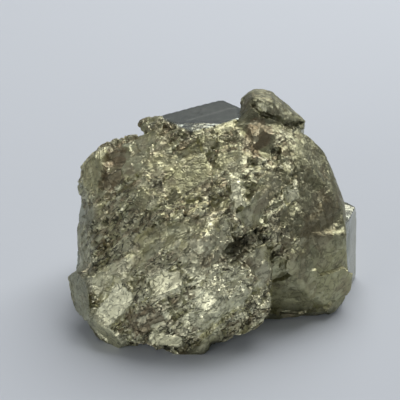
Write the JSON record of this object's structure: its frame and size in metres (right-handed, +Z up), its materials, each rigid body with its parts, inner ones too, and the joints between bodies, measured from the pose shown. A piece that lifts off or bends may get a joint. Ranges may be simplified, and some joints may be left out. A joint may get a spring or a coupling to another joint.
{
  "type": "pyrite specimen",
  "caption": "Hand-sized lump of pyrite: a rough, glittering broken face in front, grown into smooth blocky crystals at the top, side and back.",
  "frame": {"origin": "on the resting plane, under the middle of the specimen's box", "axes": "+Z up, -Y out of the broken front, +X to the right as seen from the front"},
  "size_m": [0.0744, 0.0616, 0.0515],
  "materials": {
    "pyrite": "metallic lustre; brassy olive where broken and grained, smooth and greyer on the crystal faces, brown in the hollows"
  },
  "bodies": {
    "root": {"pyrite_specimen": "pyrite"}
  },
  "joints": []
}
